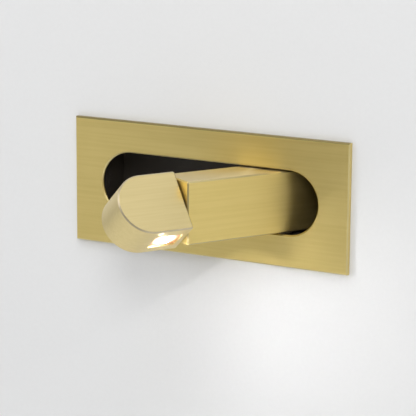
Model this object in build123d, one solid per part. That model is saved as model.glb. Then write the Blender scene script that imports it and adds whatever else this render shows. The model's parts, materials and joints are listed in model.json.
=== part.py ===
from build123d import *
import math
import os

# Wall reading lamp that folds flush into its face plate, in millimetres.
# The origin is the middle of the plate's back face, which lies on the wall. +X runs to the right along
# the plate, +Y goes into the wall and +Z is up. The lamp bar is drawn shut, flush in the plate, and its
# pieces are then swung and turned into the open pose.

# Open pose
arm_angle = 58.8
head_angle = 38.0

# Face plate
plate_length = 190.0
plate_height = 80.0
plate_thickness = 3.5
plate_web = 2.0
rim_width = 6.0
edge_break = 0.8
stud_radius = 2.0
stud_reach = 6.0
stud_nut_height = 3.2
stud_nut_flats = 7.0

# Slot in the plate, and the lamp bar that closes into it
slot_length = 150.0
slot_height = 40.0
end_gap = 2.0
side_gap = 1.0
bar_depth = 27.0
casing_wall = 2.0
seam_wall = 2.5
cover_thickness = 2.0
cover_gap = 0.1
seam_gap = 0.8
head_length = 42.7
hinge_from_middle = 44.0
boss_radius = 3.5
boss_inset = 5.0
boss_merge = 0.5
head_boss_from_round = 6.5
head_boss_off_axis = 11.0

# Hinge pin and swivel spindle
running_fit = 0.05
axial_play = 0.1
pin_radius = 4.5
pin_bore = 2.5
pin_head_radius = 7.0
pin_head_height = 2.0
pin_nut_height = 3.0
pin_nut_flats = 13.0
sleeve_wall = 2.0
bush_wall = 1.5
bush_lip = 1.5
thrust_washer = 0.8
spring_washer = 1.0
spring_slit = 1.0
spindle_radius = 4.5
spindle_bore = 2.5
spindle_head_radius = 7.0
spindle_head_height = 2.0
spindle_nut_height = 3.5
spindle_bush_flange = 1.2

# Recess liner behind the plate
liner_wall = 1.2
liner_end_reveal = 2.3
liner_side_reveal = 1.5
bar_back_gap = 3.0
tail_clearance = 1.2
flange_gap = 0.5
flange_recess = 0.2
bumper_radius = 5.0
bumper_stem_radius = 2.0
bumper_from_seam = 9.5

# Hinge plates that carry the pin outside the liner
hinge_plate_thickness = 2.5
hinge_plate_half_length = 15.0
hinge_plate_front = 9.0
hinge_plate_rear = 12.0
rivet_radius = 1.5
rivet_head_radius = 2.6
rivet_head_height = 0.6
hinge_rivet_spacing = 23.0

# Back box in the wall
box_wall = 1.2
box_corner = 3.0
clip_space = 4.5
box_back_gap = 6.6
fixing_hole_radius = 2.25
fixing_spacing_x = 150.0
fixing_spacing_z = 52.0
clip_width = 14.0
clip_thickness = 0.6
clip_rivet_offset = 4.0
clip_ramp = 8.0
clip_crest = 4.0
clip_tail = 6.0
grommet_bore = 4.5
grommet_wall = 2.5
grommet_lip = 2.0
grommet_lip_height = 1.5
earth_screw_radius = 2.0
earth_from_end = 24.0

# Driver, terminal block and switch
driver_length = 62.0
driver_height = 34.0
driver_thickness = 20.0
driver_gap = 3.3
driver_right = -8.0
driver_lug_length = 6.0
driver_lug_thickness = 3.0
driver_edge = 1.5
driver_screw_radius = 1.75
terminal_length = 20.0
terminal_height = 22.0
terminal_thickness = 14.0
terminal_from_driver = 8.0
terminal_pitch = 7.0
terminal_screw_radius = 1.6
wire_radius = 1.0
reed_length = 16.0
reed_height = 6.0
reed_thickness = 3.5
magnet_radius = 4.0
magnet_height = 3.0
magnet_from_hinge = 36.0

# Leads
lead_radius = 1.0
lead_gap = 0.2
lead_room = 3.0
lead_slack = 0.6
lead_bend = 4.0
tight_bend = 2.5

# Light in the head
window_length = 17.9
window_width = 13.4
window_from_seam = 13.45
lens_lip = 1.3
lens_lip_height = 1.5
lens_recess = 1.0
lens_gap = 0.1
reflector_height = 3.6
board_thickness = 1.6
board_width = 22.0
emitter_size = 3.0
emitter_height = 0.7
emitter_pitch_x = 7.0
emitter_pitch_y = 5.0
sink_base = 2.5
sink_height = 15.8
sink_length = 13.8
sink_cover_gap = 1.0
fin_slot = 2.0
fin_web = 2.4
sink_ear_reach = 7.0
sink_ear_thickness = 2.5
sink_boss_height = 4.0
sink_boss_radius = 3.0
sink_screw_spacing = 7.0

# Small screws: thread radius, head radius, head height
cover_screw = (1.25, 2.3, 1.2)
cover_screw_length = 8.0
pan_screw = (1.25, 2.5, 1.6)
board_screw = (0.9, 1.4, 1.0)

# Places worked out from the sizes above
plate_front = -plate_thickness
flange_back = -flange_recess
web_back = plate_front + plate_web
relief_length = plate_length - 2 * rim_width

bar_length = slot_length - 2 * end_gap
bar_height = slot_height - 2 * side_gap
bar_top = bar_height / 2
bar_back = plate_front + bar_depth
bar_axis_y = plate_front + bar_depth / 2
bar_tip = -bar_length / 2
bar_tail = bar_length / 2
cover_front = bar_back - cover_thickness
casing_floor = plate_front + casing_wall
hinge_x = hinge_from_middle
head_seam = bar_tip + head_length
arm_seam = head_seam + seam_gap
head_inner_end = head_seam - seam_wall
arm_inner_end = arm_seam + seam_wall

liner_end = slot_length / 2 + liner_end_reveal
liner_top = slot_height / 2 + liner_side_reveal
liner_outer_end = liner_end + liner_wall
liner_outer_top = liner_top + liner_wall
shallow_back = bar_back + bar_back_gap
shallow_outer = shallow_back + liner_wall
tail_swing = math.hypot(bar_tail - hinge_x, bar_depth / 2)
deep_back = bar_axis_y + tail_swing + tail_clearance
deep_outer = deep_back + liner_wall
deep_start = hinge_x - bar_depth / 2 - 2 * tail_clearance

bush_flange = liner_top - bar_top - thrust_washer - 2 * axial_play
bush_radius = pin_radius + running_fit + bush_wall
bush_lip_radius = bush_radius + bush_lip
hinge_plate_top = liner_outer_top + hinge_plate_thickness
pin_end = hinge_plate_top + axial_play + spring_washer + pin_nut_height
sleeve_radius = pin_radius + running_fit + sleeve_wall
spindle_bush_radius = spindle_radius + running_fit + bush_wall
spindle_lip_radius = spindle_bush_radius + bush_lip

box_end = liner_outer_end + clip_space
box_top = max(pin_end, hinge_plate_top + axial_play + pin_head_height) + lead_room
flange_top = box_top + box_wall
relief_height = 2 * (flange_top + flange_gap)
driver_front_limit = shallow_outer + driver_gap
box_back = max(deep_outer + box_back_gap, driver_front_limit + driver_thickness)
driver_left = driver_right - driver_length
terminal_left = driver_right + terminal_from_driver
terminal_right = terminal_left + terminal_length
terminal_front = box_back - terminal_thickness
terminal_middle = (terminal_left + terminal_right) / 2
fixing_x = fixing_spacing_x / 2
fixing_z = fixing_spacing_z / 2
stud_x = liner_end - 2 * bush_radius
stud_z = (liner_outer_top + box_top) / 2
grommet_radius = grommet_bore + grommet_wall
grommet_y = (shallow_outer + box_back) / 2
lead_floor = -(box_top - lead_radius - lead_gap)

window_x = head_seam - window_from_seam
lens_top = -bar_top + casing_wall + lens_lip_height
board_bottom = lens_top + reflector_height
board_top = board_bottom + board_thickness
board_length = window_length + 2 * lens_lip
spindle_inner_end = head_inner_end - spindle_bush_flange - axial_play - spindle_head_height
head_lead_x = spindle_inner_end - lead_radius - tight_bend
sink_right = head_lead_x - lead_radius - 2 * lead_gap
sink_left = sink_right - sink_length
sink_bottom = board_top + sink_base
sink_top = sink_bottom + sink_height
sink_back = cover_front - sink_cover_gap
ear_front = casing_floor + sink_boss_height
ear_middle_z = sink_top + sink_ear_reach / 2
ear_middle_x = (sink_left + sink_right) / 2

hinge_axis = Axis((hinge_x, bar_axis_y, 0), (0, 0, 1))
swivel_axis = Axis((hinge_x, bar_axis_y, 0), (-1, 0, 0))


def swing(shape):
    """Carries a piece of the arm from the shut pose to the open one."""
    return shape.rotate(hinge_axis, arm_angle)


def turn(shape):
    """Turns a piece of the head on the arm's own axis, then swings it out with the arm."""
    return swing(shape.rotate(swivel_axis, head_angle))


def block(x, y, z):
    """A box from three (low, high) pairs."""
    middle = Pos((x[0] + x[1]) / 2, (y[0] + y[1]) / 2, (z[0] + z[1]) / 2)
    return middle * Box(x[1] - x[0], y[1] - y[0], z[1] - z[0])


def slab(sketch, front, back):
    """A sketch of the front view, given depth from y = front to y = back."""
    return Pos(0, back, 0) * extrude(Plane.XZ * sketch, amount=back - front)


def rod_x(radius, x, y, z):
    return Pos((x[0] + x[1]) / 2, y, z) * Rot(0, 90, 0) * Cylinder(radius, x[1] - x[0])


def rod_y(radius, x, y, z):
    return Pos(x, (y[0] + y[1]) / 2, z) * Rot(90, 0, 0) * Cylinder(radius, y[1] - y[0])


def rod_z(radius, x, y, z):
    return Pos(x, y, (z[0] + z[1]) / 2) * Cylinder(radius, z[1] - z[0])


def swivel_ring(outer, inner, low, high):
    """A ring on the swivel axis, between two X values."""
    return rod_x(outer, (low, high), bar_axis_y, 0) - rod_x(inner, (low, high), bar_axis_y, 0)


def hinge_ring(outer, inner, low, high):
    """A ring on the hinge axis, between two heights."""
    return rod_z(outer, hinge_x, bar_axis_y, (low, high)) - rod_z(inner, hinge_x, bar_axis_y, (low, high))


def facing(shape, at, normal):
    """Puts a piece drawn along +Z at a point, with its +Z along the normal."""
    return Plane(origin=at, z_dir=normal) * shape


def countersunk(size, length):
    """A flat-head screw drawn along Z, with its head flush at zero."""
    thread, head, height = size
    shank = Pos(0, 0, -(length + height) / 2) * Cylinder(thread, length - height)
    return shank + Pos(0, 0, -height / 2) * Cone(thread, head, height)


def pan_head(size, length):
    """A round-head screw drawn along Z, with its seat at zero and its shank below."""
    thread, head, height = size
    shank = Pos(0, 0, -length / 2) * Cylinder(thread, length)
    return shank + Pos(0, 0, height / 2) * Cylinder(head, height)


def drive(size, depth):
    """The hexagon socket that a key turns, cut down from the screw's top at zero."""
    return Pos(0, 0, -depth) * extrude(RegularPolygon(size, 6), amount=depth)


def rivet(length):
    """A rivet drawn along Z with a low head at each end of its grip, which starts at zero."""
    shank = Pos(0, 0, length / 2) * Cylinder(rivet_radius, length)
    low_head = Pos(0, 0, -rivet_head_height / 2) * Cylinder(rivet_head_radius, rivet_head_height)
    high_head = Pos(0, 0, length + rivet_head_height / 2) * Cylinder(rivet_head_radius, rivet_head_height)
    return shank + low_head + high_head


def hexagon(flats, height):
    return extrude(RegularPolygon(flats / 2, 6, major_radius=False), amount=height)


def lead(points, bends, radius):
    """A round lead along straight runs joined by tangent arcs."""
    path = FilletPolyline(*points, radius=bends)
    return sweep(Plane(origin=path @ 0, z_dir=path % 0) * Circle(radius), path=path)


def group(shapes):
    """Separate solids kept together as one piece."""
    return Compound([solid for shape in shapes for solid in shape.solids()])


def save(name, shape):
    export_step(shape, f"parts/{name}.step")


# Face plate: a flat plate with a long slot, relieved behind so that only its rim lies on the wall
stud_places = [(sx * stud_x, sz * stud_z) for sx in (-1, 1) for sz in (-1, 1)]


def face_plate():
    plate = slab(Rectangle(plate_length, plate_height), plate_front, 0)
    plate = chamfer(plate.edges().group_by(Axis.Y)[0], edge_break)
    plate -= slab(Rectangle(relief_length, relief_height), web_back, 0)
    plate -= slab(SlotOverall(slot_length, slot_height), plate_front, web_back)
    front_edges = plate.edges().group_by(Axis.Y)[0]
    half_way_x = (slot_length + plate_length) / 4
    half_way_z = (slot_height + plate_height) / 4
    slot_edges = front_edges.filter_by(
        lambda e: abs(e.center().X) < half_way_x and abs(e.center().Z) < half_way_z
    )
    return chamfer(slot_edges, edge_break)


def plate_studs():
    return group([rod_y(stud_radius, x, (web_back, stud_reach), z) for x, z in stud_places])


def stud_nuts():
    nut = hexagon(stud_nut_flats, stud_nut_height)
    nut -= Pos(0, 0, stud_nut_height / 2) * Cylinder(stud_radius, stud_nut_height)
    return group([facing(nut, (x, flange_back, z), (0, 1, 0)) for x, z in stud_places])


# Recess liner: a black pan, deep where the tail of the arm swings in and shallow elsewhere
hinge_rivet_places = [hinge_x + side * hinge_rivet_spacing / 2 for side in (-1, 1)]
hinge_grip = liner_wall + hinge_plate_thickness
clip_grip = liner_wall + clip_thickness
clip_front = stud_reach
clip_foot = 3 * rivet_head_radius
bumper_x = arm_seam + bumper_from_seam


def hinge_rivets():
    upper = [facing(rivet(hinge_grip), (x, bar_axis_y, liner_top), (0, 0, 1)) for x in hinge_rivet_places]
    lower = [facing(rivet(hinge_grip), (x, bar_axis_y, -liner_top), (0, 0, -1)) for x in hinge_rivet_places]
    return group(upper + lower)


def clip_rivets():
    places = [(side, z) for side in (-1, 1) for z in (-clip_rivet_offset, clip_rivet_offset)]
    y = clip_front + clip_foot / 2
    return group([facing(rivet(clip_grip), (s * liner_end, y, z), (s, 0, 0)) for s, z in places])


def recess_liner():
    side = (-liner_outer_top, liner_outer_top)
    pan = block((-liner_outer_end, liner_outer_end), (web_back, shallow_outer), side)
    pan += block((deep_start - liner_wall, liner_outer_end), (web_back, deep_outer), side)
    flange_length = relief_length - 2 * flange_gap
    pan += slab(Rectangle(flange_length, 2 * flange_top), web_back, flange_back)
    inside = (-liner_top, liner_top)
    pan -= block((-liner_end, liner_end), (web_back, shallow_back), inside)
    pan -= block((deep_start, liner_end), (web_back, deep_back), inside)
    pan -= rod_z(bush_radius, hinge_x, bar_axis_y, (-liner_outer_top, liner_outer_top))
    for piece in (plate_studs(), hinge_rivets(), clip_rivets(), stop_bumper()):
        pan -= piece
    return pan


def stop_bumper():
    head = rod_y(bumper_radius, bumper_x, (bar_back + axial_play, shallow_back), 0)
    stem = rod_y(bumper_stem_radius, bumper_x, (shallow_back, shallow_outer), 0)
    barb = facing(
        Cone(bumper_stem_radius + liner_wall / 2, bumper_stem_radius, liner_wall),
        (bumper_x, shallow_outer + liner_wall / 2, 0),
        (0, 1, 0),
    )
    return head + stem + barb


# Hinge plates and bushes that carry the pin above and below the liner
def hinge_plate(side):
    z = sorted((side * liner_outer_top, side * hinge_plate_top))
    x = (hinge_x - hinge_plate_half_length, hinge_x + hinge_plate_half_length)
    plate = block(x, (bar_axis_y - hinge_plate_front, bar_axis_y + hinge_plate_rear), z)
    upright = plate.edges().filter_by(Axis.Z)
    plate = fillet(upright, rivet_head_radius)
    plate -= rod_z(bush_radius, hinge_x, bar_axis_y, z)
    for x in hinge_rivet_places:
        plate -= rod_z(rivet_radius, x, bar_axis_y, z)
    return plate


def hinge_bush(side):
    flange = sorted((side * (liner_top - bush_flange), side * liner_top))
    barrel = sorted((side * liner_top, side * hinge_plate_top))
    bore = pin_radius + running_fit
    return hinge_ring(bush_lip_radius, bore, *flange) + hinge_ring(bush_radius, bore, *barrel)


# Spring clips that grip the back box from the liner's two ends
def spring_clip(side):
    slope = clip_space - clip_thickness
    crest_start = clip_front + clip_foot + clip_ramp
    steps = [
        (clip_front, 0.0),
        (clip_front + clip_foot, 0.0),
        (crest_start, slope),
        (crest_start + clip_crest, slope),
        (crest_start + clip_crest + clip_tail, slope / 4),
    ]
    inner = [(side * (liner_outer_end + out), y) for y, out in steps]
    outer = [(side * (liner_outer_end + out + clip_thickness), y) for y, out in reversed(steps)]
    strip = extrude(make_face(Polyline(*inner, *outer, close=True)), amount=clip_width / 2, both=True)
    return strip - clip_rivets()


# Back box: a trough of sheet metal in the wall, open at the front, with plates welded on above and behind
driver_lug_x = (driver_left - driver_lug_length / 2, driver_right + driver_lug_length / 2)
terminal_fix_z = (-terminal_pitch / 2, terminal_pitch / 2)
earth_place = (box_end - earth_from_end, fixing_z)
cable_hole = (terminal_middle, grommet_y)
box_outline = RectangleRounded(2 * (box_end + box_wall), 2 * (box_top + box_wall), box_corner)
top_plate_end = box_end + box_wall - box_corner
top_plate_z = (box_top, box_top + box_wall)
top_plate_blank = block((-top_plate_end, top_plate_end), (0, box_back), top_plate_z)


def back_box():
    inside = RectangleRounded(2 * box_end, 2 * box_top, box_corner - box_wall)
    return slab(box_outline - inside, 0, box_back) - top_plate_blank


def box_top_plate():
    x, y = cable_hole
    return top_plate_blank - rod_z(grommet_radius, x, y, top_plate_z)


def box_back_plate():
    through = (box_back, box_back + box_wall)
    plate = slab(box_outline, *through)
    for sx in (-1, 1):
        for sz in (-1, 1):
            plate -= rod_y(fixing_hole_radius, sx * fixing_x, through, sz * fixing_z)
    for piece in (driver_screws(), terminal_fixings(), earth_screw()):
        plate -= piece
    return plate


def cable_grommet():
    x, y = cable_hole
    low = box_top - grommet_lip_height
    high = box_top + box_wall + grommet_lip_height
    ring = rod_z(grommet_radius + grommet_lip, x, y, (low, box_top))
    ring += rod_z(grommet_radius, x, y, (box_top, box_top + box_wall))
    ring += rod_z(grommet_radius + grommet_lip, x, y, (box_top + box_wall, high))
    return ring - rod_z(grommet_bore, x, y, (low, high))


def earth_screw():
    x, z = earth_place
    size = (earth_screw_radius, 2 * earth_screw_radius, earth_screw_radius)
    screw = pan_head(size, 2 * box_wall)
    return facing(screw, (x, box_back, -z), (0, -1, 0))


# LED driver and terminal block, screwed to the back of the box
def led_driver():
    front = box_back - driver_thickness
    half = driver_height / 2
    case = block((driver_left, driver_right), (front, box_back), (-half, half))
    case = fillet(case.edges().filter_by(Axis.Y), driver_edge)
    for x in driver_lug_x:
        reach = (x - driver_lug_length / 2, x + driver_lug_length / 2)
        lug_y = (box_back - driver_lug_thickness, box_back)
        case += block(reach, lug_y, (-half, 2 * driver_lug_length - half))
    return case - driver_screws()


def driver_screws():
    size = (driver_screw_radius, 2 * driver_screw_radius - lead_gap, driver_screw_radius)
    screw = pan_head(size, driver_lug_thickness + box_wall)
    y = box_back - driver_lug_thickness
    z = driver_lug_length - driver_height / 2
    return group([facing(screw, (x, y, z), (0, -1, 0)) for x in driver_lug_x])


terminal_rows = [-terminal_pitch, 0.0, terminal_pitch]
terminal_columns = [terminal_left + terminal_length / 4, terminal_right - terminal_length / 4]


def terminal_screws():
    size = (terminal_screw_radius, terminal_screw_radius, wire_radius)
    screw = pan_head(size, terminal_thickness / 3) - Pos(0, 0, wire_radius) * drive(wire_radius, wire_radius)
    y = terminal_front + 2 * wire_radius
    return group([facing(screw, (x, y, z), (0, -1, 0)) for x in terminal_columns for z in terminal_rows])


def terminal_fixings():
    screw = pan_head(board_screw, terminal_thickness / 2 + box_wall)
    y = box_back - terminal_thickness / 2
    return group([facing(screw, (terminal_middle, y, z), (0, -1, 0)) for z in terminal_fix_z])


def terminal_block():
    half = terminal_height / 2
    body = block((terminal_left, terminal_right), (terminal_front, box_back), (-half, half))
    body -= terminal_screws()
    for z in terminal_rows:
        for x in terminal_columns:
            body -= rod_y(terminal_screw_radius, x, (terminal_front, terminal_front + 2 * wire_radius), z)
    for z in terminal_fix_z:
        well = (terminal_front, box_back - terminal_thickness / 2)
        body -= rod_y(board_screw[1], terminal_middle, well, z)
    return body - terminal_fixings()


def mains_wires():
    y = box_back - terminal_thickness / 2
    run = (driver_right, terminal_left)
    return group([rod_x(wire_radius, run, y, z) for z in (-terminal_pitch, terminal_pitch)])


# Reed switch on the back of the liner, opposite the magnet in the arm, and its lead
magnet_x = hinge_x - magnet_from_hinge


def reed_switch():
    x = (magnet_x - reed_length / 2, magnet_x + reed_length / 2)
    body = block(x, (shallow_outer, shallow_outer + reed_thickness), (-reed_height / 2, reed_height / 2))
    return fillet(body.edges().group_by(Axis.Y)[-1], reed_thickness / 4)


def switch_lead():
    start = (magnet_x - reed_length / 2, shallow_outer + reed_thickness / 2, 0)
    corner_x = (driver_right + start[0]) / 2
    in_driver_y = box_back - driver_thickness / 2 - tight_bend
    points = [start, (corner_x, start[1], 0), (corner_x, in_driver_y, 0), (driver_right, in_driver_y, 0)]
    return lead(points, tight_bend, lead_radius)


def supply_lead():
    """From the driver down to the box's floor, along it, and up into the hinge pin's bore."""
    y = box_back - driver_thickness / 2
    z = -terminal_height / 2 - tight_bend
    x = (driver_right + terminal_left) / 2
    points = [
        (driver_right, y, z),
        (x, y, z),
        (x, y, lead_floor),
        (hinge_x, y, lead_floor),
        (hinge_x, bar_axis_y, lead_floor),
        (hinge_x, bar_axis_y, -hinge_plate_top - spring_washer),
    ]
    return lead(points, [tight_bend, lead_bend, lead_bend, tight_bend], lead_radius)


# Hinge pin: hollow, with a window at mid height where the lead turns into the arm
def lead_window(reach, low, high):
    """A cut from the hinge axis towards the head, as tall as the lead's bend."""
    z = (-lead_bend - 3 * lead_radius, 2 * lead_radius)
    return block((hinge_x - reach, hinge_x), (bar_axis_y + low, bar_axis_y + high), z)


def hinge_pin():
    top = hinge_plate_top + axial_play
    pin = rod_z(pin_radius, hinge_x, bar_axis_y, (-pin_end, top))
    pin += rod_z(pin_head_radius, hinge_x, bar_axis_y, (top, top + pin_head_height))
    pin -= rod_z(pin_bore, hinge_x, bar_axis_y, (-pin_end, top + pin_head_height))
    return pin - lead_window(2 * pin_radius, -lead_radius - lead_slack, pin_radius)


def thrust_ring(side):
    low = bar_top + axial_play
    z = sorted((side * low, side * (low + thrust_washer)))
    return hinge_ring(bush_lip_radius, pin_radius + running_fit, *z)


def hinge_spring():
    low = -hinge_plate_top - axial_play - spring_washer
    ring = hinge_ring(pin_head_radius, pin_radius + running_fit, low, low + spring_washer)
    slit = block(
        (hinge_x - spring_slit / 2, hinge_x + spring_slit / 2),
        (bar_axis_y, bar_axis_y + pin_head_radius),
        (low, low + spring_washer),
    )
    return ring - slit


def hinge_nut():
    nut = Pos(hinge_x, bar_axis_y, -pin_end) * hexagon(pin_nut_flats, pin_nut_height)
    return nut - rod_z(pin_radius, hinge_x, bar_axis_y, (-pin_end, -pin_end + pin_nut_height))


# Lamp bar: one outline, cut at the seam into the arm and the head
def bar_outline(inset, left, right):
    """The bar's front view drawn in by inset, between two X values."""
    outline = SlotOverall(bar_length - 2 * inset, bar_height - 2 * inset)
    return outline & (Pos((left + right) / 2, 0) * Rectangle(right - left, bar_height))


def broken_edges(body, seam):
    """Takes the sharp edges off a bar piece, leaving the smooth joins at the round end."""
    sharp = body.edges().filter_by(
        lambda e: abs((e % 0.5).Y) < 0.5 or abs(e.center().X - seam) < edge_break
    )
    return chamfer(sharp, edge_break)


def cover_screws(places):
    screw = countersunk(cover_screw, cover_screw_length) - drive(cover_screw[0], cover_screw[2])
    return group([facing(screw, (x, bar_back, z), (0, 1, 0)) for x, z in places])


def cover_screw_holes(places):
    hole = countersunk(cover_screw, cover_screw_length)
    return group([facing(hole, (x, bar_back, z), (0, 1, 0)) for x, z in places])


def bosses(places, radius, top_y):
    return [rod_y(radius, x, (casing_floor, top_y), z) for x, z in places]


boss_z = bar_top - casing_wall - boss_radius + boss_merge
arm_screw_places = [(arm_inner_end + boss_inset, sz * boss_z) for sz in (-1, 1)]
arm_screw_places += [(hinge_x - 4 * boss_inset, sz * boss_z) for sz in (-1, 1)]
arm_screw_places += [(bar_tail - 2 * boss_inset, 0.0)]


def arm_casing():
    casing = broken_edges(slab(bar_outline(0, arm_seam, bar_tail), plate_front, bar_back), arm_seam)
    casing -= slab(bar_outline(casing_wall, arm_inner_end, bar_tail), casing_floor, bar_back)
    for boss in bosses(arm_screw_places, boss_radius, cover_front):
        casing += boss
    casing -= cover_screw_holes(arm_screw_places)
    casing -= rod_z(sleeve_radius, hinge_x, bar_axis_y, (-bar_top, bar_top))
    return casing - rod_x(spindle_bush_radius, (arm_seam, arm_inner_end), bar_axis_y, 0)


def arm_cover():
    outline = bar_outline(casing_wall + cover_gap, arm_inner_end + cover_gap, bar_tail)
    return slab(outline, cover_front, bar_back) - cover_screw_holes(arm_screw_places)


def hinge_sleeve():
    sleeve = hinge_ring(sleeve_radius, pin_radius + running_fit, -bar_top, bar_top)
    return sleeve - lead_window(2 * sleeve_radius, -lead_radius - lead_slack, lead_radius + lead_slack)


def arm_bush():
    bore = spindle_radius + running_fit
    flange_end = arm_inner_end + spindle_bush_flange
    barrel = swivel_ring(spindle_bush_radius, bore, arm_seam, arm_inner_end)
    return barrel + swivel_ring(spindle_lip_radius, bore, arm_inner_end, flange_end)


def arm_magnet():
    return rod_y(magnet_radius, magnet_x, (cover_front - magnet_height, cover_front), 0)


seam_middle = (arm_seam + head_seam) / 2


def arm_lead():
    points = [
        (hinge_x, bar_axis_y, -hinge_plate_top - spring_washer + lead_gap),
        (hinge_x, bar_axis_y, 0),
        (seam_middle + lead_gap / 2, bar_axis_y, 0),
    ]
    return lead(points, lead_bend, lead_radius)


# Swivel spindle: hollow, clamped through the two end walls of the seam
arm_stack = arm_inner_end + spindle_bush_flange + axial_play
head_stack = head_inner_end - spindle_bush_flange - axial_play


def swivel_spindle():
    end = arm_stack + spring_washer + spindle_nut_height
    shaft = rod_x(spindle_radius, (head_stack, end), bar_axis_y, 0)
    shaft += rod_x(spindle_head_radius, (spindle_inner_end, head_stack), bar_axis_y, 0)
    return shaft - rod_x(spindle_bore, (spindle_inner_end, end), bar_axis_y, 0)


def seam_washer():
    low = head_seam + axial_play
    return swivel_ring(spindle_lip_radius, spindle_radius + running_fit, low, arm_seam - axial_play)


def swivel_spring():
    far = arm_stack + spring_washer
    ring = swivel_ring(spindle_head_radius, spindle_radius + running_fit, arm_stack, far)
    slit = block(
        (arm_stack, far),
        (bar_axis_y - spring_slit / 2, bar_axis_y + spring_slit / 2),
        (0, spindle_head_radius),
    )
    return ring - slit


def swivel_nut():
    low = arm_stack + spring_washer
    nut = facing(hexagon(pin_nut_flats, spindle_nut_height), (low, bar_axis_y, 0), (1, 0, 0))
    return nut - rod_x(spindle_radius, (low, low + spindle_nut_height), bar_axis_y, 0)


# Head: the same bar outline, with the light looking out through a window in its underside
round_x = bar_tip + bar_top
head_screw_places = [(round_x - head_boss_from_round, sz * head_boss_off_axis) for sz in (-1, 1)]
head_screw_places += [(head_inner_end - boss_radius + boss_merge, boss_z)]
sink_screw_places = [(ear_middle_x + s * sink_screw_spacing / 2, ear_middle_z) for s in (-1, 1)]
window_span_x = (window_x - window_length / 2, window_x + window_length / 2)
window_span_y = (bar_axis_y - window_width / 2, bar_axis_y + window_width / 2)


def widened(span, extra):
    return (span[0] - extra, span[1] + extra)


lip_span_x = widened(window_span_x, lens_lip - lens_gap)
lip_span_y = widened(window_span_y, lens_lip - lens_gap)


def head_casing():
    casing = broken_edges(slab(bar_outline(0, bar_tip, head_seam), plate_front, bar_back), head_seam)
    casing -= slab(bar_outline(casing_wall, bar_tip, head_inner_end), casing_floor, bar_back)
    for boss in bosses(head_screw_places, boss_radius, cover_front):
        casing += boss
    for boss in bosses(sink_screw_places, sink_boss_radius, ear_front):
        casing += boss
    casing -= cover_screw_holes(head_screw_places)
    casing -= sink_screws()
    casing -= block(window_span_x, window_span_y, (-bar_top, -bar_top + casing_wall))
    return casing - rod_x(spindle_bush_radius, (head_inner_end, head_seam), bar_axis_y, 0)


def head_cover():
    outline = bar_outline(casing_wall + cover_gap, bar_tip, head_inner_end - cover_gap)
    return slab(outline, cover_front, bar_back) - cover_screw_holes(head_screw_places)


def head_bush():
    bore = spindle_radius + running_fit
    flange_end = head_inner_end - spindle_bush_flange
    barrel = swivel_ring(spindle_bush_radius, bore, head_inner_end, head_seam)
    return barrel + swivel_ring(spindle_lip_radius, bore, flange_end, head_inner_end)


def lens():
    lip_z = (lens_top - lens_lip_height, lens_top)
    lip = block(lip_span_x, lip_span_y, lip_z)
    face_z = (-bar_top + lens_recess, lip_z[0])
    return lip + block(widened(window_span_x, -lens_gap), widened(window_span_y, -lens_gap), face_z)


def reflector():
    body = block(lip_span_x, lip_span_y, (lens_top, board_bottom))
    mouth = Plane((window_x, bar_axis_y, lens_top)) * Rectangle(window_length, window_width)
    throat_x = emitter_pitch_x + 2 * emitter_size
    throat_y = emitter_pitch_y + 2 * emitter_size
    throat = Plane((window_x, bar_axis_y, board_bottom)) * Rectangle(throat_x, throat_y)
    return body - loft([mouth.face(), throat.face()])


def led_board():
    x = (window_x - board_length / 2 + lens_gap, window_x + board_length / 2 - lens_gap)
    y = (bar_axis_y - board_width / 2, bar_axis_y + board_width / 2)
    return block(x, y, (board_bottom, board_top)) - board_screws()


def led_emitters():
    shapes = []
    for sx in (-1, 1):
        for sy in (-1, 1):
            x = window_x + sx * emitter_pitch_x / 2
            y = bar_axis_y + sy * emitter_pitch_y / 2
            half = emitter_size / 2
            z = (board_bottom - emitter_height, board_bottom)
            shapes.append(block((x - half, x + half), (y - half, y + half), z))
    return group(shapes)


def board_screws():
    screw = pan_head(board_screw, board_thickness + sink_base)
    off = (board_width / 2 + window_width / 2 + lens_lip - lens_gap) / 2
    x = ear_middle_x
    return group([facing(screw, (x, bar_axis_y + s * off, board_bottom), (0, 0, -1)) for s in (-1, 1)])


def heat_sink():
    y = (casing_floor, sink_back)
    body = block((sink_left, sink_right), y, (board_top, sink_top))
    foot_end = head_lead_x + lead_radius + tight_bend
    foot = block((sink_right, foot_end), y, (board_top, sink_bottom))
    notch_y = (bar_axis_y - tight_bend, bar_axis_y + tight_bend)
    foot -= block((sink_right, foot_end), notch_y, (board_top, sink_bottom))
    body += foot
    ear_y = (ear_front, ear_front + sink_ear_thickness)
    body += block((sink_left, sink_right), ear_y, (sink_top, sink_top + sink_ear_reach))
    fins = int((sink_length - fin_web) / (fin_slot + fin_web))
    for i in range(fins):
        low = sink_left + fin_web + i * (fin_slot + fin_web)
        gap_y = (ear_front + sink_ear_thickness + fin_web, sink_back)
        body -= block((low, low + fin_slot), gap_y, (sink_bottom + sink_base, sink_top))
    return body - sink_screws() - board_screws()


def sink_screws():
    length = sink_ear_thickness + sink_boss_height + casing_wall / 4
    screw = pan_head(pan_screw, length)
    y = ear_front + sink_ear_thickness
    return group([facing(screw, (x, y, z), (0, 1, 0)) for x, z in sink_screw_places])


def head_lead():
    points = [
        (seam_middle - lead_gap / 2, bar_axis_y, 0),
        (head_lead_x, bar_axis_y, 0),
        (head_lead_x, bar_axis_y, board_top),
    ]
    return lead(points, tight_bend, lead_radius)


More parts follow.
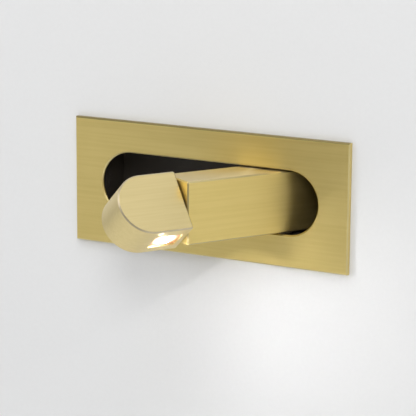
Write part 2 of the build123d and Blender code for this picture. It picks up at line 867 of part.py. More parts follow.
housing = {
    "face_plate": face_plate(),
    "plate_studs": plate_studs(),
    "stud_nuts": stud_nuts(),
    "recess_liner": recess_liner(),
    "stop_bumper": stop_bumper(),
    "back_box": back_box(),
    "box_top_plate": box_top_plate(),
    "box_back_plate": box_back_plate(),
    "cable_grommet": cable_grommet(),
    "earth_screw": earth_screw(),
    "upper_hinge_plate": hinge_plate(1),
    "lower_hinge_plate": hinge_plate(-1),
    "hinge_plate_rivets": hinge_rivets(),
    "upper_hinge_bush": hinge_bush(1),
    "lower_hinge_bush": hinge_bush(-1),
    "left_spring_clip": spring_clip(-1),
    "right_spring_clip": spring_clip(1),
    "clip_rivets": clip_rivets(),
    "led_driver": led_driver(),
    "driver_screws": driver_screws(),
    "terminal_block": terminal_block(),
    "terminal_screws": terminal_screws(),
    "terminal_fixing_screws": terminal_fixings(),
    "mains_wires": mains_wires(),
    "reed_switch": reed_switch(),
    "switch_lead": switch_lead(),
    "supply_lead": supply_lead(),
}
arm = {
    "hinge_pin": hinge_pin(),
    "upper_thrust_washer": thrust_ring(1),
    "lower_thrust_washer": thrust_ring(-1),
    "hinge_spring_washer": hinge_spring(),
    "hinge_nut": hinge_nut(),
    "arm_casing": arm_casing(),
    "arm_cover": arm_cover(),
    "arm_cover_screws": cover_screws(arm_screw_places),
    "hinge_sleeve": hinge_sleeve(),
    "arm_swivel_bush": arm_bush(),
    "arm_magnet": arm_magnet(),
    "arm_lead": arm_lead(),
}
head = {
    "swivel_spindle": swivel_spindle(),
    "seam_washer": seam_washer(),
    "swivel_spring_washer": swivel_spring(),
    "swivel_nut": swivel_nut(),
    "head_casing": head_casing(),
    "head_cover": head_cover(),
    "head_cover_screws": cover_screws(head_screw_places),
    "head_swivel_bush": head_bush(),
    "lens": lens(),
    "reflector": reflector(),
    "led_board": led_board(),
    "led_emitters": led_emitters(),
    "board_screws": board_screws(),
    "heat_sink": heat_sink(),
    "heat_sink_screws": sink_screws(),
    "head_lead": head_lead(),
}

os.makedirs("parts", exist_ok=True)
for name, shape in housing.items():
    save(name, shape)
for name, shape in arm.items():
    save(name, swing(shape))
for name, shape in head.items():
    save(name, turn(shape))
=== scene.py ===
# %% [markdown]
# # A wall reading lamp that folds flush into its plate
# The lamp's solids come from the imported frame, at their real size and in their real place. This lesson
# gives each of them its finish, adds the few pieces whose form is mostly a matter of looks, and then sets
# the wall, the light and the camera. Lengths are in metres: +X runs to the right along the plate, +Y goes
# into the wall and +Z is up.

import json
import math

import bmesh
import bpy
import numpy as np
from mathutils import Matrix, Vector


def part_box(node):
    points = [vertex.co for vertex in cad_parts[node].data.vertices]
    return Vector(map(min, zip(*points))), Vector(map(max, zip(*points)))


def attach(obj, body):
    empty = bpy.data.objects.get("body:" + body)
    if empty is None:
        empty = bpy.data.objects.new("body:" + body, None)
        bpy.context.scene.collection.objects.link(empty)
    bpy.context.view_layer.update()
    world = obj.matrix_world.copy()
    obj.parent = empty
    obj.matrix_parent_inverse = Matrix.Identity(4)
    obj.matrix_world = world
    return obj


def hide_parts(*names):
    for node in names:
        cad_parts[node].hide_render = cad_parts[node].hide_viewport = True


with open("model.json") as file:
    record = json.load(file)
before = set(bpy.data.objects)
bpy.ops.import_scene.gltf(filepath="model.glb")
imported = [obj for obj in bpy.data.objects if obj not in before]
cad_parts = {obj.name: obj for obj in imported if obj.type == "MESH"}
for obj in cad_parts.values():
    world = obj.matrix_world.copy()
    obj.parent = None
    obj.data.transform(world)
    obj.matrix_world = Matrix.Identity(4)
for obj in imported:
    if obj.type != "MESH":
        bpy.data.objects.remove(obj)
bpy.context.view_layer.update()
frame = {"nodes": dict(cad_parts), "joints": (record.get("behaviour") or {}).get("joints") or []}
nodes = frame["nodes"]

# %% [markdown]
# ## Where the bar stands
# The arm was modelled shut, then swung out on its hinge, and the head was turned on the bar's own axis. The
# joints of the frame hold both angles, so the brushed grain and the new pieces can follow the bar. Copying
# the angles as numbers would be shorter, but they would go wrong if the pose ever changed.

# %% Angles of the arm and the head
joints = {joint["name"]: joint for joint in frame["joints"]}
pivot = Vector(joints["head_turn"]["pos_m"])
towards_tail = -Vector(joints["head_turn"]["axis"])
swing_angle = math.atan2(towards_tail.y, towards_tail.x)
turn_angle = -math.radians(joints["head_square"]["range_deg"][0])
plate_axes = Matrix.Identity(3)
arm_axes = Matrix.Rotation(swing_angle, 3, "Z")
head_axes = arm_axes @ Matrix.Rotation(-turn_angle, 3, "X")
print(f"arm swung {math.degrees(swing_angle):.1f} degrees, head turned {math.degrees(turn_angle):.1f}")

# %% [markdown]
# ## Camera
# The photograph looks at the plate from the right and a little above, through a long lens. The numbers
# were fitted to the plate's corners, the slot and the bar. A camera object with its matrix built from three
# unit vectors keeps that fit exactly, where a tracking constraint would lose the slight roll.

# %% Camera from the fitted view
image_pixels = 416
focal_pixels = 1841.2
sensor_width = 36.0
camera_azimuth, camera_elevation, camera_roll = np.radians((28.09, 12.55, 0.42))
camera_distance = 1.1387
camera_target = Vector((-0.00105, 0.0, -0.00997))

towards_camera = Vector((
    math.sin(camera_azimuth) * math.cos(camera_elevation),
    -math.cos(camera_azimuth) * math.cos(camera_elevation),
    math.sin(camera_elevation),
))
level = Vector((0, 0, 1)).cross(towards_camera).normalized()
upright = towards_camera.cross(level)
right = math.cos(camera_roll) * level + math.sin(camera_roll) * upright
above = math.cos(camera_roll) * upright - math.sin(camera_roll) * level

camera = bpy.data.objects.new("camera", bpy.data.cameras.new("camera"))
camera.data.sensor_width = sensor_width
camera.data.lens = sensor_width * focal_pixels / image_pixels
camera.matrix_world = Matrix.Translation(camera_target + camera_distance * towards_camera) @ Matrix(
    (right, above, towards_camera)
).transposed().to_4x4()
bpy.context.scene.collection.objects.link(camera)
bpy.context.scene.camera = camera
bpy.context.scene.view_settings.view_transform = "Standard"
print(f"lens {camera.data.lens:.1f} mm at {camera_distance:.2f} m")

# %% [markdown]
# ## Surfaces from numbers
# Every new piece is a grid of points worked out at once with numpy, one face to each cell of the grid.
# Where a grid meets itself, round a ring or at a pole, its points fall together and are merged, which
# closes the surface. Modelling by hand would work as well, but a formula says exactly what the shape is.

# %% A grid of points made into a mesh
crease_angle = math.radians(38)
same_point = 1e-7


def millimetres(*values):
    """Millimetres as metres, one number or an array of them."""
    metres = np.array(values, float) / 1000
    return metres if len(values) > 1 else float(metres[0])


def grid_piece(name, points):
    """A mesh from points of shape (..., rows, columns, 3): each cell of each grid is one face."""
    rows, columns = points.shape[-3:-1]
    index = np.arange(points.size // 3).reshape(-1, rows, columns)
    corners = [index[:, :-1, :-1], index[:, :-1, 1:], index[:, 1:, 1:], index[:, 1:, :-1]]
    faces = np.stack(corners, axis=-1).reshape(-1, 4)
    mesh = bpy.data.meshes.new(name)
    mesh.from_pydata(points.reshape(-1, 3).tolist(), [], faces.tolist())
    form = bmesh.new()
    form.from_mesh(mesh)
    bmesh.ops.remove_doubles(form, verts=form.verts, dist=same_point)
    form.to_mesh(mesh)
    form.free()
    mesh.shade_smooth()
    mesh.set_sharp_from_angle(angle=crease_angle)
    piece = bpy.data.objects.new(name, mesh)
    bpy.context.scene.collection.objects.link(piece)
    print(name, "has", len(mesh.polygons), "faces")
    return piece


# %% [markdown]
# ## Wall and floor
# The lamp sits in a pale painted wall, so the stage is a wall with a cut-out behind the plate, and a pale
# floor below. A plain plane would close the recess and hide the box from behind. The wall is a square
# ring that runs from the far edges to the cut-out, and its paint shows only on the room's side, so that a
# view from behind sees the back of the lamp.

# %% Build the wall and the floor
wall_gap, plate_overlap = millimetres(0.2, 7.0)
wall_reach, floor_level = 3.0, -0.55
_, plate_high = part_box("face_plate")
wall_face = plate_high.y + wall_gap
cut_half = np.array([plate_high.x, plate_high.z]) - plate_overlap


def square_ring(outer, inner):
    """Points from one rectangle to another: P(t, k) = (1 - t) * outer corner k + t * inner corner k."""
    corners = np.array([(-1, -1), (1, -1), (1, 1), (-1, 1), (-1, -1)], float)
    t = np.linspace(0, 1, 2)[:, None, None]
    return (1 - t) * corners * outer + t * corners * inner


ring = square_ring(wall_reach, cut_half)
ring_height = np.maximum(ring[..., 1], floor_level)
ring_depth = np.full_like(ring_height, wall_face)
wall = grid_piece("wall", np.stack([ring[..., 0], ring_depth, ring_height], axis=-1))
across = np.array([[-wall_reach, wall_reach], [-wall_reach, wall_reach]])
floor = grid_piece("floor", np.stack([across, across.T, np.full_like(across, floor_level)], axis=-1))
print("wall cut-out half size", cut_half.round(4))

# %% [markdown]
# ## Shader maths as expressions
# A finish is easiest to read as arithmetic: roughness = 0.3 + 0.1 * streak. One small class wraps a node's
# output socket and overloads the operators, so that an expression adds its own Math nodes. Every other
# node comes from one method of the finish. Wiring each node by hand would hide the idea in the plumbing.


# %% A value that takes part in expressions
class Value:
    """A quantity that varies over a surface: a node's output that takes part in expressions."""

    def __init__(self, finish, socket):
        self.finish = finish
        self.socket = socket

    def math(self, operation, *inputs):
        return self.finish.node("ShaderNodeMath", {"operation": operation}, dict(enumerate(inputs)))

    def __add__(self, other):
        return self.math("ADD", self, other)

    def __sub__(self, other):
        return self.math("SUBTRACT", self, other)

    def __rsub__(self, other):
        return self.math("SUBTRACT", other, self)

    def __mul__(self, other):
        return self.math("MULTIPLY", self, other)

    def __rpow__(self, other):
        return self.math("POWER", other, self)

    def __abs__(self):
        return self.math("ABSOLUTE", self)

    __radd__ = __add__
    __rmul__ = __mul__


# %% A finish under construction
class Finish:
    """A material and its nodes. What is the same all over is set on the shader's own sockets."""

    def __init__(self, name, sockets):
        self.material = bpy.data.materials.new(name)
        self.material.use_nodes = True
        self.tree = self.material.node_tree
        self.shader = self.tree.nodes["Principled BSDF"]
        self.put(self.shader, sockets)

    def put(self, node, sockets):
        """Links or sets a node's inputs, which are named, or numbered where names repeat."""
        for key, value in sockets.items():
            named = [socket for socket in node.inputs if socket.enabled and socket.name == key]
            target = named[0] if named else node.inputs[key]
            if isinstance(value, Value):
                self.tree.links.new(value.socket, target)
            else:
                target.default_value = value

    def node(self, kind, settings=None, sockets=None, out=0):
        """Adds a node: its settings first, then its inputs. Gives one of its outputs, named or numbered."""
        node = self.tree.nodes.new(kind)
        for key, value in (settings or {}).items():
            setattr(node, key, value)
        self.put(node, sockets or {})
        shown = [socket for socket in node.outputs if socket.enabled]
        return Value(self, node.outputs[out] if isinstance(out, str) else shown[out])

    def ramp(self, value, low, high):
        """0 below low and 1 above high, with a soft step between."""
        sockets = {"Value": value, "From Min": low, "From Max": high}
        return self.node("ShaderNodeMapRange", {"interpolation_type": "SMOOTHSTEP"}, sockets)

    def mix(self, factor, low, high):
        """A colour between two colours."""
        return self.node("ShaderNodeMix", {"data_type": "RGBA"}, {"Factor": factor, "A": low, "B": high})

    def parts(self, vector):
        """The three components of a vector."""
        return [self.node("ShaderNodeSeparateXYZ", None, {"Vector": vector}, out=axis) for axis in "XYZ"]

    def into_axes(self, vector, axes):
        """A vector as it is seen from axes that are turned with a piece."""
        sockets = {"Vector": vector, "Rotation": axes.transposed().to_euler()}
        return self.node("ShaderNodeMapping", {"vector_type": "VECTOR"}, sockets)

    def own_axes(self, axes, what="Object"):
        """Object coordinates, or normals, in the piece's own axes."""
        return self.into_axes(self.node("ShaderNodeTexCoord", out=what), axes)

    def noise(self, vector, grains, detail=2.0):
        """Noise from 0 to 1 with so many grains to a metre: one number, or one for each axis."""
        scale = tuple(np.broadcast_to(grains, 3))
        packed = self.node("ShaderNodeMapping", None, {"Vector": vector, "Scale": scale})
        return self.node("ShaderNodeTexNoise", None, {"Vector": packed, "Scale": 1.0, "Detail": detail})

    def bump(self, height, strength, depth):
        """A relief of that depth, in metres, as a normal."""
        sockets = {"Height": height, "Strength": strength, "Distance": depth}
        return self.node("ShaderNodeBump", None, sockets)


# %% Colours, and a finish put on nodes
def rgb(red, green, blue):
    """A linear colour with full opacity."""
    return (red, green, blue, 1.0)


def dress(finish, *names):
    """Gives CAD nodes a finish in place of their plain one."""
    for name in names:
        slots = nodes[name].data.materials
        slots.clear()
        slots.append(finish.material)
    print(finish.material.name, "on", ", ".join(names))


# %% [markdown]
# ## Wall paint
# Rolled emulsion is nearly flat white with the faint stipple of the roller. The paint's back is clear, so
# that views from behind and from below see the lamp: the Backfacing output picks a transparent shader there.
# Leaving the wall out of such views would do that too, but the light it throws back would be lost.

# %% Paint on the wall and the floor
stipple_grain = 420.0
stipple_depth = millimetres(0.1)


def emulsion(name, low, high):
    """The roller's stipple, as noise, sets the tone, the gloss and a shallow relief."""
    finish = Finish(name, {"Specular IOR Level": 0.2})
    place = finish.own_axes(plate_axes)
    stipple = finish.noise(place, stipple_grain, detail=3.0)
    finish.put(finish.shader, {
        "Base Color": finish.mix(stipple, low, high),
        "Roughness": 0.8 + 0.15 * stipple,
        "Normal": finish.bump(stipple, 0.05, stipple_depth),
    })
    return finish


def one_sided(finish):
    """Shows the finish on the front of each face only."""
    behind = finish.node("ShaderNodeNewGeometry", out="Backfacing")
    clear = finish.node("ShaderNodeBsdfTransparent")
    front = Value(finish, finish.shader.outputs["BSDF"])
    seen = finish.node("ShaderNodeMixShader", None, {0: behind, 1: front, 2: clear})
    finish.put(finish.tree.nodes["Material Output"], {"Surface": seen})
    return finish


wall_tones = rgb(0.786, 0.790, 0.796), rgb(0.816, 0.820, 0.826)
floor_tones = rgb(0.78, 0.78, 0.77), rgb(0.82, 0.82, 0.81)
wall.data.materials.append(one_sided(emulsion("wall paint", *wall_tones)).material)
floor.data.materials.append(one_sided(emulsion("floor paint", *floor_tones)).material)
print("painted the", wall.name, "and the", floor.name)

# %% [markdown]
# ## Satin brass
# The plate and the bar are brass, brushed lengthwise and lacquered to a satin sheen. Brushing leaves hair
# lines a few tenths of a millimetre wide, and broader streaks where the belt pressed harder: both are noise
# stretched along the grain. The broken edges, found by their slanted normals, have a painted reflection
# as their tone: paler on the plate, darker and greyer on the bar and the head. The sides that look up are
# painted too: the plate's narrow top dark as painted shade, the tops of the bar and the head pale as a
# painted highlight. The scratches also spread the gloss across the grain. The shader's anisotropy does
# that, turned a quarter because it starts out level. The tilted head goes without it, and its brass is
# painted a little paler, as painted light from the lamp's own glow. A picture of brushed metal would also
# do as a texture, but its scratches wouldn't follow each piece's own grain.

# %% Brass for the plate, the arm and the head
warm_brass = rgb(0.69, 0.54, 0.185), rgb(0.81, 0.655, 0.265)
# The head's brass is painted paler, as painted light from the lamp's glow; its top takes the paler tone.
lamplit_painted_brass = rgb(0.70, 0.57, 0.27), rgb(0.81, 0.68, 0.36)
# Painted reflection on the broken edges: pale on the plate, dark on the bar, grey on the head.
painted_pale_edge = rgb(0.70, 0.60, 0.32)
painted_dark_edge = rgb(0.36, 0.31, 0.21)
painted_grey_edge = rgb(0.50, 0.43, 0.36)
# Painted shade on the plate's up-facing top, painted highlight on the bar's top.
painted_shade_top = rgb(0.13, 0.10, 0.02)
painted_highlight_top = rgb(0.75, 0.67, 0.49)
hair_grain, streak_grain, cloud_grain = (90.0, 5200.0, 5200.0), (16.0, 640.0, 640.0), 34.0
hair_depth = millimetres(0.03)
slant_starts, slant_ends = (0.2, 0.35), (0.85, 0.95)
edges_and_top, flat_top = (0.3, 0.5), (0.75, 0.95)
quarter_turn = 0.25


def satin_brass(name, axes, tones, painted_edge_tone, painted_top_tone, top_range, rough, spread):
    """Hair lines, streaks and clouds share in tone and gloss. Edges get a painted reflection, tops a painted
    tone.
    """
    finish = Finish(name, {"Metallic": 1.0, "Anisotropic": spread, "Anisotropic Rotation": quarter_turn})
    place = finish.own_axes(axes)
    hair = finish.noise(place, hair_grain)
    streak = finish.ramp(finish.noise(place, streak_grain, detail=3.0), 0.3, 0.7)
    cloud = finish.noise(place, cloud_grain)
    _, front, up = finish.parts(finish.own_axes(axes, "Normal"))
    slant = abs(front)
    # The edge mask places the painted reflection, the top mask the painted shade or highlight of each brass.
    edge = finish.ramp(slant, *slant_starts) * (1 - finish.ramp(slant, *slant_ends))
    top = finish.ramp(up, *top_range)
    tone = finish.mix(0.3 * streak + 0.4 * cloud + 0.3 * hair, *tones)
    finish.put(finish.shader, {
        "Base Color": finish.mix(0.7 * top, finish.mix(0.6 * edge, tone, painted_edge_tone), painted_top_tone),
        "Roughness": rough + 0.04 * streak + 0.06 * hair + 0.06 * cloud,
        "Normal": finish.bump(hair + 0.25 * streak, 0.12, hair_depth),
    })
    return finish


# Each brass gets a painted edge reflection and a painted top: shade on the plate, highlight on the bar and
# head.
dress(
    satin_brass(
        "plate brass", plate_axes, warm_brass,
        painted_edge_tone=painted_pale_edge, painted_top_tone=painted_shade_top, top_range=edges_and_top, rough=0.32, spread=0.35,
    ),
    "face_plate",
)
dress(
    satin_brass(
        "arm brass", arm_axes, warm_brass,
        painted_edge_tone=painted_dark_edge, painted_top_tone=painted_highlight_top, top_range=flat_top, rough=0.41, spread=0.35,
    ),
    "arm_casing", "arm_cover",
)
dress(
    satin_brass(
        "head brass", head_axes, lamplit_painted_brass,
        painted_edge_tone=painted_grey_edge, painted_top_tone=lamplit_painted_brass[1], top_range=flat_top, rough=0.32, spread=0.0,
    ),
    "head_casing", "head_cover",
)

# %% [markdown]
# ## Matt black paint
# The recess liner is a steel pan, powder coated black so that the open slot reads as a shadow. Powder coat
# has a fine orange-peel relief and stays a little uneven in gloss. The bar rubs it now and then, which
# leaves faint grey scuffs along its path. Real bumps would take millions of faces for a relief of a few
# hundredths of a millimetre, so the peel only tilts the normals.

# %% Black powder coat
coat_black, scuff_grey = rgb(0.042, 0.036, 0.030), rgb(0.060, 0.054, 0.048)
peel_grain, uneven_grain, scuff_grain = 1500.0, 60.0, (25.0, 300.0, 900.0)
peel_depth = millimetres(0.05)


def powder_coat(name):
    """The peel is relief alone. Scuffs, the rare peaks of a long noise, are greyer and smoother."""
    finish = Finish(name, {"Specular IOR Level": 0.35})
    place = finish.own_axes(plate_axes)
    peel = finish.noise(place, peel_grain)
    uneven = finish.noise(place, uneven_grain)
    scuff = finish.ramp(finish.noise(place, scuff_grain, detail=4.0), 0.62, 0.8)
    finish.put(finish.shader, {
        "Base Color": finish.mix(scuff, coat_black, scuff_grey),
        "Roughness": 0.52 + 0.12 * uneven - 0.08 * scuff,
        "Normal": finish.bump(peel, 0.15, peel_depth),
    })
    return finish


dress(powder_coat("black powder coat"), "recess_liner", "hinge_plate_rivets", "clip_rivets")

# %% [markdown]
# ## Zinc
# The box in the wall is galvanised sheet. As molten zinc freezes it grows flat crystals, the spangle, each
# turned its own way and so each a slightly different grey. Voronoi cells are a good picture of that: their
# random colour gives every crystal its tone and gloss. Small fittings are zinc plated, which is finer and
# only shows faint drawing lines. With other tones, the same finish does for the spring steel, the small
# brass pieces and the aluminium.

# %% Galvanised sheet
dark_crystal, light_crystal = rgb(0.40, 0.42, 0.44), rgb(0.66, 0.68, 0.70)
spangle_grain, warp_grain, bloom_grain = (150.0, 150.0, 150.0), 220.0, 900.0
spangle_depth = millimetres(0.04)


def galvanised(name):
    """Voronoi cells, bent by a noise: two parts of each cell's random colour are its tone and its gloss."""
    finish = Finish(name, {"Metallic": 1.0})
    place = finish.own_axes(plate_axes)
    warp = finish.noise(place, warp_grain)
    packed = finish.node("ShaderNodeMapping", None, {"Vector": place, "Scale": spangle_grain})
    bent = finish.node("ShaderNodeVectorMath", {"operation": "ADD"}, {0: packed, 1: warp})
    crystal = finish.node("ShaderNodeTexVoronoi", None, {"Vector": bent, "Scale": 1.0}, out="Color")
    tone, gloss, _ = finish.parts(crystal)
    bloom = finish.noise(place, bloom_grain, detail=3.0)
    finish.put(finish.shader, {
        "Base Color": finish.mix(0.7 * tone + 0.3 * bloom, dark_crystal, light_crystal),
        "Roughness": 0.34 + 0.16 * gloss + 0.08 * bloom,
        "Normal": finish.bump(tone + 0.4 * bloom, 0.1, spangle_depth),
    })
    return finish


dress(galvanised("galvanised sheet"), "back_box", "box_top_plate", "box_back_plate")

# %% Plated and bright fittings
line_grain, blotch_grain = (2600.0, 2600.0, 260.0), 260.0
line_depth = millimetres(0.02)


def plated(name, low, high, rough):
    """Drawing lines and blotches share in the tone and the gloss, and the lines are also relief."""
    finish = Finish(name, {"Metallic": 1.0})
    place = finish.own_axes(plate_axes)
    lines = finish.noise(place, line_grain, detail=3.0)
    blotch = finish.noise(place, blotch_grain)
    finish.put(finish.shader, {
        "Base Color": finish.mix(0.5 * lines + 0.5 * blotch, low, high),
        "Roughness": rough + 0.14 * blotch + 0.08 * lines,
        "Normal": finish.bump(lines, 0.1, line_depth),
    })
    return finish


dress(
    plated("bright zinc", rgb(0.52, 0.52, 0.53), rgb(0.70, 0.70, 0.70), rough=0.22),
    "upper_hinge_plate", "lower_hinge_plate", "hinge_pin", "hinge_nut", "swivel_spindle", "swivel_nut",
    "stud_nuts", "driver_screws", "terminal_fixing_screws", "heat_sink_screws", "board_screws",
    "arm_magnet",
)
dress(
    plated("blued spring steel", rgb(0.16, 0.18, 0.24), rgb(0.34, 0.35, 0.39), rough=0.26),
    "left_spring_clip", "right_spring_clip", "hinge_spring_washer", "swivel_spring_washer",
)
dress(
    plated("bright brass", rgb(0.62, 0.46, 0.17), rgb(0.80, 0.63, 0.27), rough=0.18),
    "arm_cover_screws", "head_cover_screws", "plate_studs", "terminal_screws", "earth_screw",
    "hinge_sleeve",
)
dress(
    plated("machined aluminium", rgb(0.60, 0.61, 0.62), rgb(0.80, 0.81, 0.82), rough=0.28),
    "heat_sink",
)

# %% [markdown]
# ## Plastics and rubber
# The bearings are natural nylon, the driver and the reflector white mouldings, the terminal block ivory,
# the leads black sheath. A moulding copies the spark-eroded grain of its tool, so each of these is a colour
# with a fine grain in relief, some clouding in gloss and a slightly darker tone in the pits, which is
# painted shade. One function with a few numbers serves them all, where a material drawn for each would
# repeat the same nodes.

# %% Moulded finishes
flow_grain = 90.0


def moulded(name, low, high, rough, grain, depth):
    """The tool's pits, so many millimetres deep, and the melt's flow share in tone and gloss."""
    finish = Finish(name, {})
    place = finish.own_axes(plate_axes)
    pits = finish.noise(place, grain, detail=3.0)
    flow = finish.noise(place, flow_grain)
    finish.put(finish.shader, {
        # The pits' darker tone is painted shade.
        "Base Color": finish.mix(0.6 * pits + 0.4 * flow, low, high),
        "Roughness": rough + 0.12 * flow + 0.06 * pits,
        "Normal": finish.bump(pits, 0.2, millimetres(depth)),
    })
    return finish


dress(
    moulded(
        "natural nylon", rgb(0.70, 0.67, 0.58), rgb(0.82, 0.79, 0.71),
        rough=0.42, grain=1800.0, depth=0.02,
    ),
    "upper_hinge_bush", "lower_hinge_bush", "arm_swivel_bush", "head_swivel_bush",
    "upper_thrust_washer", "lower_thrust_washer", "seam_washer",
)
rubber = moulded(
    "black rubber", rgb(0.012, 0.012, 0.012), rgb(0.032, 0.031, 0.030),
    rough=0.62, grain=2400.0, depth=0.04,
)
dress(rubber, "stop_bumper", "cable_grommet")
dress(
    moulded(
        "white moulding", rgb(0.74, 0.74, 0.72), rgb(0.84, 0.84, 0.82),
        rough=0.45, grain=2200.0, depth=0.03,
    ),
    "led_driver", "reflector",
)
dress(
    moulded(
        "ivory moulding", rgb(0.62, 0.57, 0.45), rgb(0.74, 0.69, 0.57),
        rough=0.4, grain=2200.0, depth=0.03,
    ),
    "terminal_block",
)
dress(
    moulded(
        "black moulding", rgb(0.014, 0.014, 0.016), rgb(0.030, 0.030, 0.034),
        rough=0.3, grain=2200.0, depth=0.02,
    ),
    "reed_switch",
)
dress(
    moulded(
        "lead sheath", rgb(0.018, 0.018, 0.018), rgb(0.036, 0.035, 0.034),
        rough=0.48, grain=1600.0, depth=0.03,
    ),
    "switch_lead", "supply_lead", "arm_lead", "head_lead",
)
dress(
    moulded(
        "brown insulation", rgb(0.13, 0.055, 0.025), rgb(0.20, 0.09, 0.045),
        rough=0.38, grain=1600.0, depth=0.02,
    ),
    "mains_wires",
)
dress(
    moulded(
        "white solder mask", rgb(0.72, 0.73, 0.72), rgb(0.84, 0.85, 0.84),
        rough=0.24, grain=900.0, depth=0.01,
    ),
    "led_board",
)
dress(
    moulded(
        "phosphor", rgb(0.80, 0.55, 0.10), rgb(0.92, 0.70, 0.20),
        rough=0.5, grain=3000.0, depth=0.02,
    ),
    "led_emitters",
)

# %% [markdown]
# ## Soft rubber pieces
# The cable grommet and the stop bumper behind the arm are moulded rubber, so their edges are round, where
# the solids that stand for them in the frame are plain rings and discs. Each is a profile turned about an
# axis, as the mould was. A bevel on the solids would round the edges too, but not swell the beads.

# %% Profiles turned about an axis
arc_steps, turn_steps = 13, 49
upwards = np.array([0.0, 0.0, 1.0])
inwards = np.array([0.0, 1.0, 0.0])
sideways = np.array([1.0, 0.0, 0.0])


def arc(middle, radii, start, stop):
    """Part of an ellipse: (r, h) = middle + radii * (cos s, sin s), with s in degrees."""
    s = np.radians(np.linspace(start, stop, arc_steps))
    return np.array(middle) + np.array(radii) * np.stack([np.cos(s), np.sin(s)], axis=-1)


def turned(name, node, profile, up):
    """P(t, a) = foot + r(t) * (cos a * u + sin a * v) + h(t) * up, where u and v lie across the axis.

    The profile (r, h) is in millimetres, and the foot is the low end of the node the piece stands for.
    """
    low, high = np.array(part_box(node))
    foot = np.where(up > 0, low, (low + high) / 2)
    a = np.linspace(0, 2 * math.pi, turn_steps)[:, None]
    around = np.cos(a) * sideways + np.sin(a) * np.cross(up, sideways)
    reach, height = millimetres(*profile).T[..., None, None]
    piece = grid_piece(name, foot + reach * around + height * up)
    piece.data.materials.append(rubber.material)
    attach(piece, "housing")
    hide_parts(node)


# %% The grommet, with a bead at each side of the sheet
bead_middle, bead_round, bead_half = 7.6, 1.4, 0.725
neck_radius, grommet_height = 6.9, 4.2
bore_middle, bore_round = 5.2, 0.7
turned("rubber_grommet", "cable_grommet", np.concatenate([
    arc((bead_middle, bead_half), (bead_round, bead_half), -90, 90),
    [(neck_radius, 2 * bead_half), (neck_radius, grommet_height - 2 * bead_half)],
    arc((bead_middle, grommet_height - bead_half), (bead_round, bead_half), -90, 90),
    arc((bore_middle, grommet_height - bore_round), (bore_round, bore_round), 90, 180),
    arc((bore_middle, bore_round), (bore_round, bore_round), 180, 270),
    [(bead_middle, 0.0)],
]), upwards)

# %% The bumper, with a domed face and a barbed stem
bumper_radius, dome_height, rim_round = 5.0, 2.2, 0.4
stem_radius, barb_radius = 1.95, 2.6
seat_level, barb_level, tip_level = 2.9, 4.1, 5.3
turned("rubber_bumper", "stop_bumper", np.concatenate([
    arc((0.0, dome_height), (bumper_radius, dome_height), -90, 0),
    arc((bumper_radius - rim_round, seat_level - rim_round), (rim_round, rim_round), 0, 90),
    [(stem_radius, seat_level), (stem_radius, barb_level), (barb_radius, barb_level)],
    [(stem_radius, tip_level), (0.0, tip_level)],
]), inwards)

# %% [markdown]
# ## The lit lens
# The LEDs shine through a lightly frosted lens in the head's underside: a flat pane with a lip that holds
# it in the window, and a round button in its middle. The button's shallow cap stands just proud of the
# casing, so that its light also skims along the wall: a pane alone would be shaded there by the window's
# edge, and the photograph shows a warm patch on the plate. The lens is a grid of rings, circles on the
# button and rectangles on the pane and the lip. A cut block with a ball on it would leave a seam between.

# %% A pane with a cap
window_along, window_depth, bar_underside = -43.75, 10.0, -19.0
lens_middle = millimetres(window_along, window_depth, bar_underside)
cap_radius, cap_half, cap_proud = millimetres(8.0, 2.2, 0.3)
pane_half = millimetres(8.85, 6.6)
lip_half = millimetres(10.15, 7.9)
pane_level, lip_level, pane_back = millimetres(1.0, 2.0, 3.5)
cap_steps, side_steps = 14, 12


def closed_to_rest(points, axes):
    """Carries points of the shut lamp to the rest pose: P' = pivot + R (P - pivot)."""
    return (points - np.array(pivot)) @ np.array(axes).T + np.array(pivot)


def square_walk(steps):
    """Points once round the square from -1 to 1, steps to a side."""
    t = np.linspace(-1, 1, steps, endpoint=False)
    edge = np.full(steps, 1.0)
    x = np.concatenate([t, edge, -t, -edge])
    y = np.concatenate([-edge, t, edge, -t])
    return np.append(np.stack([x, y], axis=-1), [[-1.0, -1.0]], axis=0)


def capped_pane():
    """Rings of points: R sin(s) * direction on the cap, then half * square on the pane, lip and back."""
    square = square_walk(side_steps)
    direction = square / np.linalg.norm(square, axis=1, keepdims=True)
    slope = np.linspace(0, math.asin(cap_half / cap_radius), cap_steps)
    reach = np.append(cap_radius * np.sin(slope), cap_half)
    halves = np.stack([pane_half, pane_half, lip_half, lip_half, 0 * lip_half])
    flat = np.concatenate([reach[:, None, None] * direction, halves[:, None] * square])
    levels = np.concatenate([
        cap_radius * (1 - np.cos(slope)) - cap_proud,
        [pane_level, pane_level, lip_level, lip_level, pane_back, pane_back],
    ])
    heights = np.broadcast_to(levels[:, None, None], flat.shape[:2] + (1,))
    return closed_to_rest(lens_middle + np.concatenate([flat, heights], axis=-1), head_axes)


pane = grid_piece("frosted_lens", capped_pane())
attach(pane, "head")
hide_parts("lens")

# %% [markdown]
# Lit, the cap is far brighter than the room, and the pane around it fades to a warm gleam at the rim. So
# the lens glows by itself: fully on the cap, which is found by its height, and by a bell curve of the
# distance to the middle on the pane. Light through real glass would need far more samples for the same
# picture.

# %% Glow over the lens
bell_half_along, bell_half_over = millimetres(4.1, 3.6)
bell_base = math.exp(-1)
bell_share = 0.0060
cap_fade = -0.3 * cap_proud, 0.1 * cap_proud
frost_grain = 2600.0
frost_depth = millimetres(0.02)
glow_strength = 2300.0
glow_hot = rgb(1.0, 0.975, 0.945)
glow_rim = rgb(0.0003, 0.00015, 0.00005)
lens_body = rgb(0.06, 0.05, 0.035)


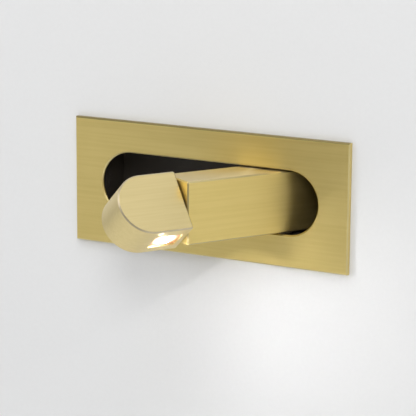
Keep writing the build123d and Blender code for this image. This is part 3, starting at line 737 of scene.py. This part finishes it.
def lit_lens(name):
    """Glow = cap + share * exp(-(x / a)^2 - (y / b)^2), with x and y from the middle of the lens."""
    finish = Finish(name, {"Base Color": lens_body, "Emission Strength": glow_strength})
    middle = Vector(closed_to_rest(lens_middle, head_axes))
    seen = finish.node("ShaderNodeTexCoord", out="Object")
    centred = finish.node("ShaderNodeVectorMath", {"operation": "SUBTRACT"}, {0: seen, 1: middle})
    along, over, up = finish.parts(finish.into_axes(centred, head_axes))
    out_along = along * (1 / bell_half_along)
    out_over = over * (1 / bell_half_over)
    bell = bell_base ** (out_along * out_along + out_over * out_over)
    cap = 1 - finish.ramp(up, *cap_fade)
    frost = finish.noise(seen, frost_grain)
    finish.put(finish.shader, {
        "Emission Color": finish.mix(cap + bell_share * bell, glow_rim, glow_hot),
        "Roughness": 0.3 + 0.2 * frost,
        "Normal": finish.bump(frost, 0.2, frost_depth),
    })
    return finish


pane.data.materials.append(lit_lens("lit lens").material)
print(pane.name, "glows with strength", glow_strength)

# %% [markdown]
# ## Light
# The room is bright on all sides, with its main light in front, above and to the right: the head's shadow
# falls on the wall below it and a little to the left. A grey world stands for the far walls and soft boxes
# for the windows and the lit ceiling. A low box close to the wall on the right is what the arm's flank
# mirrors. Small hard lamps would draw bright bars in the brass.

# %% World and soft boxes
room_tone = rgb(0.12, 0.12, 0.12)
world = bpy.data.worlds.new("room")
world.use_nodes = True
world.node_tree.nodes["Background"].inputs["Color"].default_value = room_tone
bpy.context.scene.world = world


def soft_box(name, place, size, power):
    """A square area light that faces the plate."""
    lamp = bpy.data.lights.new(name, "AREA")
    lamp.size = size
    lamp.energy = power
    box = bpy.data.objects.new(name, lamp)
    box.location = place
    box.rotation_euler = (-Vector(place)).to_track_quat("-Z", "Y").to_euler()
    bpy.context.scene.collection.objects.link(box)
    print(name, "box of", power, "W,", size, "m wide")


soft_box("key", place=(0.85, -1.65, 1.05), size=0.6, power=12.6)
soft_box("right", place=(1.9, -0.4, -0.1), size=0.6, power=2.4)
soft_box("top", place=(0.3, -0.7, 1.9), size=1.3, power=25.5)
soft_box("left", place=(-1.75, -1.22, 0.0), size=1.4, power=5.5)
soft_box("upper left", place=(-1.2, -1.2, 1.3), size=1.3, power=10.5)
